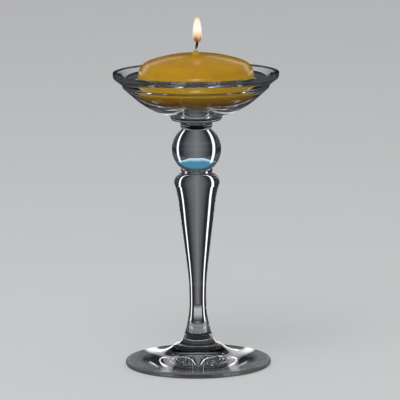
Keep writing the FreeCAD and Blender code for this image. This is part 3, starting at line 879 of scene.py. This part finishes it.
def floor_material(look):
    """Matt pale floor with a faint mottle, dark in mirror images so that glass keeps its dark rims."""
    material, nodes, shader = new_material("Pale floor", Specular_IOR_Level=0.1)
    tone = use_drift(nodes, shader, Colour=look.floor_colour, Drift_colour=shaded(look.floor_colour),
                     Scale=3.0, Amount=0.5)
    use_marks(nodes, shader, Roughness=0.75, Smears=0.1, Specks=0.05, Scale=8.0)
    mirrored = nodes.math("GREATER_THAN", nodes.add("ShaderNodeLightPath").outputs["Glossy Depth"], 0.5)
    nodes.feed(shader, "Base Color", nodes.blend(mirrored, tone, MIRRORED_FLOOR))
    return material


def light_seen_by_glass(nodes):
    """Two shares: rays that reach a light by gloss or glass with no matt bounce before, and camera rays."""
    path = nodes.add("ShaderNodeLightPath").outputs
    shiny = nodes.math("MAXIMUM", path["Is Glossy Ray"], path["Is Transmission Ray"])
    early = nodes.math("LESS_THAN", path["Diffuse Depth"], 0.5)
    return nodes.math("MULTIPLY", shiny, early), path["Is Camera Ray"]


def card_material(name, stops, strength=1.0, along="X"):
    """Glow of a studio card that only gloss and glass show, coloured across its own map."""
    material = bpy.data.materials.new(name)
    nodes = cleared(material)
    seen, _ = light_seen_by_glass(nodes)
    share = nodes.split(nodes.add("ShaderNodeUVMap"))[along]
    glow = nodes.add("ShaderNodeEmission", Color=nodes.ramp(share, stops),
                     Strength=nodes.math("MULTIPLY", seen, strength))
    nodes.add("ShaderNodeOutputMaterial", Surface=glow)
    return material


def both_ways(*stops):
    """A ramp's stops up to its middle, and then their mirror image."""
    return [*stops, *((1 - place, colour) for place, colour in reversed(stops) if place != 0.5)]


def hide_from_camera(obj):
    """Keep a panel for gloss and glass alone, off the camera, matt surfaces and shadows."""
    obj.visible_camera = obj.visible_diffuse = obj.visible_shadow = False


def studio_card(name, place, columns, rows, material):
    """A card whose points are given by place(across, up), which the camera doesn't show."""
    points, faces = [], []
    for i in range(columns + 1):
        points += [place(i / columns, row / rows) for row in range(rows + 1)]
    for i in range(columns):
        for row in range(i * (rows + 1), i * (rows + 1) + rows):
            faces.append((row, row + 1, row + rows + 2, row + rows + 1))
    card = new_object(name, points, (), faces)
    layer = card.data.uv_layers.new(name="card")
    for loop in card.data.loops:
        column, row = divmod(loop.vertex_index, rows + 1)
        layer.data[loop.index].uv = (column / columns, row / rows)
    card.data.materials.append(material)
    hide_from_camera(card)
    return card


def light_only(light, piece):
    """Let a card or lamp light this one piece and no other."""
    lit = bpy.data.collections.new(f"Lit by {light.name}")
    lit.objects.link(bpy.data.objects[piece])
    light.light_linking.receiver_collection = lit


def point_round(azimuth, distance, height):
    """The point at this azimuth from the camera, in degrees, distance from the axis and height."""
    turn = math.radians(azimuth)
    return distance * math.sin(turn), -distance * math.cos(turn), height


def gloss_lamp(name, azimuth, place, size, brightness, piece):
    """A flat lamp at (distance, height) facing the axis, shown only by the gloss of one piece."""
    lamp = bpy.data.lights.new(name, "AREA")
    lamp.shape, lamp.size, lamp.size_y = "RECTANGLE", *size
    lamp.energy = brightness * math.pi * size[0] * size[1]
    obj = link_new(name, lamp)
    obj.location = point_round(azimuth, *place)
    inward = Vector(point_round(azimuth, -1.0, 0.0))
    obj.rotation_euler = inward.to_track_quat("-Z", "Y").to_euler()
    obj.visible_camera = obj.visible_diffuse = obj.visible_transmission = False
    light_only(obj, piece)


def round_card(name, azimuth, width, foot, top, material, lean=0.0, taper=0.0):
    """A card from foot to top, each (distance, height), curved round the axis.

    On its way up it turns on by lean and loses the share taper of its width. Angles are in degrees, and
    azimuth is from the camera.
    """
    def place(across, up):
        return point_round(azimuth + lean * up + width * (1 - taper * up) * (across - 0.5),
                           foot[0] + (top[0] - foot[0]) * up, foot[1] + (top[1] - foot[1]) * up)

    return studio_card(name, place, max(8, round(abs(width) / 5)), 8 if lean else 1, material)


def add_camera(look):
    """The camera, where the photo was taken from."""
    camera = link_new("Camera", bpy.data.cameras.new("Camera"))
    camera.data.lens = look.lens
    camera.data.sensor_width = 36.0
    camera.data.shift_x = look.camera_shift
    camera.data.clip_end = 200.0
    camera.location = (0.0, -look.camera_distance, look.camera_height)
    ahead = Vector((0.0, math.cos(look.camera_pitch), -math.sin(look.camera_pitch)))
    camera.rotation_euler = ahead.to_track_quat("-Z", "Y").to_euler()
    camera.rotation_euler.rotate_axis("Z", look.camera_roll)
    bpy.context.scene.camera = camera


def add_floor(look):
    """A round pale floor."""
    rings, steps = (0.6, 3.0, look.floor_radius), 96
    points, faces = [(0.0, 0.0, 0.0)], []
    for ring in rings:
        points += [(ring * math.cos(FULL_TURN * i / steps), ring * math.sin(FULL_TURN * i / steps), 0.0)
                   for i in range(steps)]
    for i in range(steps):
        after = (i + 1) % steps
        faces.append((0, 1 + i, 1 + after))
        for ring in range(len(rings) - 1):
            low, high = 1 + ring * steps, 1 + (ring + 1) * steps
            faces.append((low + i, high + i, high + after, low + after))
    floor = new_object("floor", points, (), faces)
    floor.data.materials.append(floor_material(look))


def add_stem_cards(look, plain):
    """Bright strips, with dark and fading cards between, that stem and ball show as their streaks."""
    soft_edge, soft = (0.3, 0.3, 0.31), (0.9, 0.9, 0.92)
    strip = card_material("Strip light", both_ways((0.0, soft_edge), (0.3, soft), (0.5, WHITE)),
                          look.strip_light)
    fading = card_material("Fading card", [(0.0, DARK), (0.4, DARK), (1.0, (0.2, 0.205, 0.215))])
    near, around, top, strip_top = FOOT_CLEAR, 62 * MM, 145.5 * MM, 159 * MM
    inside = around - 0.5 * MM
    outer, past_middle = 110.0, 0.3
    for side, azimuth, lean, width in ((-1, 148.0, 9.5, 10.0), (1, 144.5, 9.0, 9.0)):
        edge = azimuth + lean / 2
        inner = 180.0 + past_middle - edge
        for part, foot, head in (("floor", (near, MM), (around, MM)),
                                 ("wall", (around, 0.0), (around, top))):
            round_card(f"fading_{part}_{side}", side * (edge + inner / 2), side * inner, foot, head, fading)
            round_card(f"dark_{part}_{side}", side * (outer + edge) / 2, edge - outer, foot, head, plain)
        round_card(f"strip_floor_{side}", side * azimuth, width, (near, 1.5 * MM), (inside, 1.5 * MM), strip)
        round_card(f"strip_wall_{side}", side * azimuth, width, (inside, 0.0), (inside, strip_top), strip,
                   side * lean, 0.35)
    stops = [(0.0, DARK), (0.25, (0.5, 0.53, 0.56)), (0.6, (0.42, 0.45, 0.48)), (1.0, DARK)]
    patch = round_card("low_patch", 180.0, 34.0, (around - MM, 26 * MM), (around - MM, 2 * MM),
                       card_material("Low patch", stops, along="Y"))
    light_only(patch, "stem_glass")


def add_piece_lights(look):
    """Lights that one piece each shows: a sheen on the wax, patches in the foot and glints in the bowl."""
    soft = card_material("Front panel", both_ways((0.0, DARK), (0.3, (0.6, 0.6, 0.6)), (0.5, WHITE)),
                         look.front_light)
    light_only(round_card("front_panel", 0.0, 32.0, (1.0, 0.34), (1.0, 0.62), soft), "candle_wax_body")
    for side in (-1, 1):
        gloss_lamp(f"rear_lamp_{side}", side * 151, place=(0.34, 0.22), size=(0.33, 0.28),
                   brightness=look.rear_light, piece="candle_wax_body")
        gloss_lamp(f"foot_lamp_{side}", side * 156, place=(0.06, 0.022), size=(0.016, 0.024),
                   brightness=look.foot_light, piece="foot_glass")
    glint = card_material("Glint card", both_ways((0.0, DARK), (0.35, WHITE)), look.glint_light)
    for side in (-1, 1):
        card = round_card(f"bowl_glint_{side}", side * 110.0, 18.0, (0.15, 1.5 * MM), (0.2, 1.5 * MM), glint)
        light_only(card, "bowl_glass")


def add_floor_cards(plain):
    """Dark cards on the floor, behind and all round the foot, that keep its glass from going pale."""
    round_card("floor_ring", 180.0, 190.0, (FOOT_CLEAR, 0.5 * MM), (0.25, 0.5 * MM), plain)
    flag = round_card("floor_flag", 0.0, 360.0, (0.052, MM), (0.6, MM), plain)
    flag.visible_transmission = False


def add_cool_card(look):
    """A card behind the ball, cut to an arch below, that lays the cool lens of light in it."""
    half_turn, distance = math.radians(51), look.cool_distance
    middle = seat_of("ball_knop") + height_of("ball_knop") / 2
    lowest, arch_run, crown_run = 0.096, 1.91, 1.48

    def place(across, up):
        turn = half_turn * (2 * across - 1)
        low = max(lowest * math.cos(turn), math.sin(abs(turn)) / arch_run)
        rise = low + (math.cos(turn) / crown_run - low) * up
        return distance * math.sin(turn), distance * math.cos(turn), middle + distance * rise

    deep = look.cool_colour
    stops = [(0.0, (0.6, 0.85, 1.0)), (0.08, (0.5, 0.75, 0.9)), (0.2, deep), (0.7, deep),
             (1.0, [0.6 * channel for channel in deep])]
    light_only(studio_card("cool_card", place, 24, 8, card_material("Cool card", stops, along="Y")),
               "ball_knop_glass")


def add_ceiling(look):
    """A dim panel that reaches far behind the piece, for gloss and glass to show from above."""
    near, far, wide, high = 1.45, 9.5, 1.7, 1.0
    dim = card_material("Ceiling card", [(0.0, (0.08, 0.085, 0.09)), (1.0, (0.16, 0.17, 0.18))],
                        look.ceiling_light, "Y")
    studio_card("ceiling", lambda across, up: (wide * (2 * across - 1), near + (far - near) * up, high),
                1, 1, dim)


def add_key(look):
    """The large soft lamp overhead, which lights matt surfaces only."""
    key = bpy.data.lights.new("Key", "AREA")
    key.shape = "DISK"
    key.size = 1.6
    area = math.pi * (key.size / 2) ** 2
    key.energy = look.key_light * math.pi * area
    lamp = link_new("Key", key)
    lamp.location = (-0.4, -1.15, 1.95)
    aim = Vector((0, 0, 0.1))
    lamp.rotation_euler = (aim - lamp.location).to_track_quat("-Z", "Y").to_euler()
    lamp.visible_camera = lamp.visible_glossy = lamp.visible_transmission = False


def make_world(look):
    """Even pale light. Gloss and glass see it dark above the horizon, and the camera sees the backdrop."""
    world = bpy.data.worlds.new("Studio")
    bpy.context.scene.world = world
    nodes = cleared(world)
    rise = nodes.split(nodes.add("ShaderNodeTexCoord").outputs["Generated"])["Z"]
    sky = nodes.ramp(rise, [(0.0, look.backdrop), (0.03, look.backdrop), (0.08, (0.1, 0.11, 0.12)),
                            (0.7, (0.07, 0.075, 0.08)), (1.0, (0.12, 0.125, 0.13))])
    seen, camera = light_seen_by_glass(nodes)
    plain = nodes.blend(seen, [look.room_light] * 3, sky)
    colour = nodes.blend(camera, plain, look.backdrop)
    glow = nodes.add("ShaderNodeBackground", Color=colour, Strength=1.0)
    nodes.add("ShaderNodeOutputWorld", Surface=glow)


class OBJECT_OT_add_stage(bpy.types.Operator):
    """Add the camera, the pale floor and the soft studio light"""

    bl_idname = "candle_bowl.add_stage"
    bl_label = "Stage"

    def execute(self, context):
        scene = context.scene
        look = scene.candle_bowl.stage
        add_camera(look)
        add_floor(look)
        plain = card_material("Dark card", [(0.0, DARK), (1.0, DARK)])
        add_stem_cards(look, plain)
        add_piece_lights(look)
        add_floor_cards(plain)
        add_cool_card(look)
        add_ceiling(look)
        add_key(look)
        make_world(look)
        scene.view_settings.view_transform = "Standard"
        scene.cycles.max_bounces = scene.cycles.transmission_bounces = 48
        scene.cycles.glossy_bounces = scene.cycles.transparent_max_bounces = 32
        return {"FINISHED"}


class VIEW3D_PT_candle_bowl(bpy.types.Panel):
    """Lists the candle bowl's settings and the pieces that it is made of"""

    bl_label = "Candle Bowl"
    bl_idname = "VIEW3D_PT_candle_bowl"
    bl_space_type = "VIEW_3D"
    bl_region_type = "UI"
    bl_category = "Candle Bowl"

    def draw(self, context):
        settings = context.scene.candle_bowl
        for part in ("glass", "candle", "stage"):
            box = self.layout.box()
            box.label(text=part.capitalize())
            group = getattr(settings, part)
            for name in group.__annotations__:
                box.prop(group, name)
        for operator in OPERATORS:
            self.layout.operator(operator.bl_idname)


OPERATORS = (
    OBJECT_OT_add_foot,
    OBJECT_OT_add_stem,
    OBJECT_OT_add_knop,
    OBJECT_OT_add_bowl,
    OBJECT_OT_add_wax,
    OBJECT_OT_add_wick,
    OBJECT_OT_add_tab,
    OBJECT_OT_add_flame,
    OBJECT_OT_add_stage,
)
CLASSES = (GlassSettings, CandleSettings, StageSettings, BowlSettings, *OPERATORS, VIEW3D_PT_candle_bowl)


def register():
    for cls in CLASSES:
        bpy.utils.register_class(cls)
    bpy.types.Scene.candle_bowl = bpy.props.PointerProperty(type=BowlSettings)


def unregister():
    del bpy.types.Scene.candle_bowl
    for cls in reversed(CLASSES):
        bpy.utils.unregister_class(cls)


def main():
    """Build every piece."""
    register()
    for operator in OPERATORS:
        group, name = operator.bl_idname.split(".")
        result = getattr(getattr(bpy.ops, group), name)()
        if result != {"FINISHED"}:
            raise RuntimeError(f"{operator.bl_label} didn't finish")


if __name__ == "__main__":
    main()
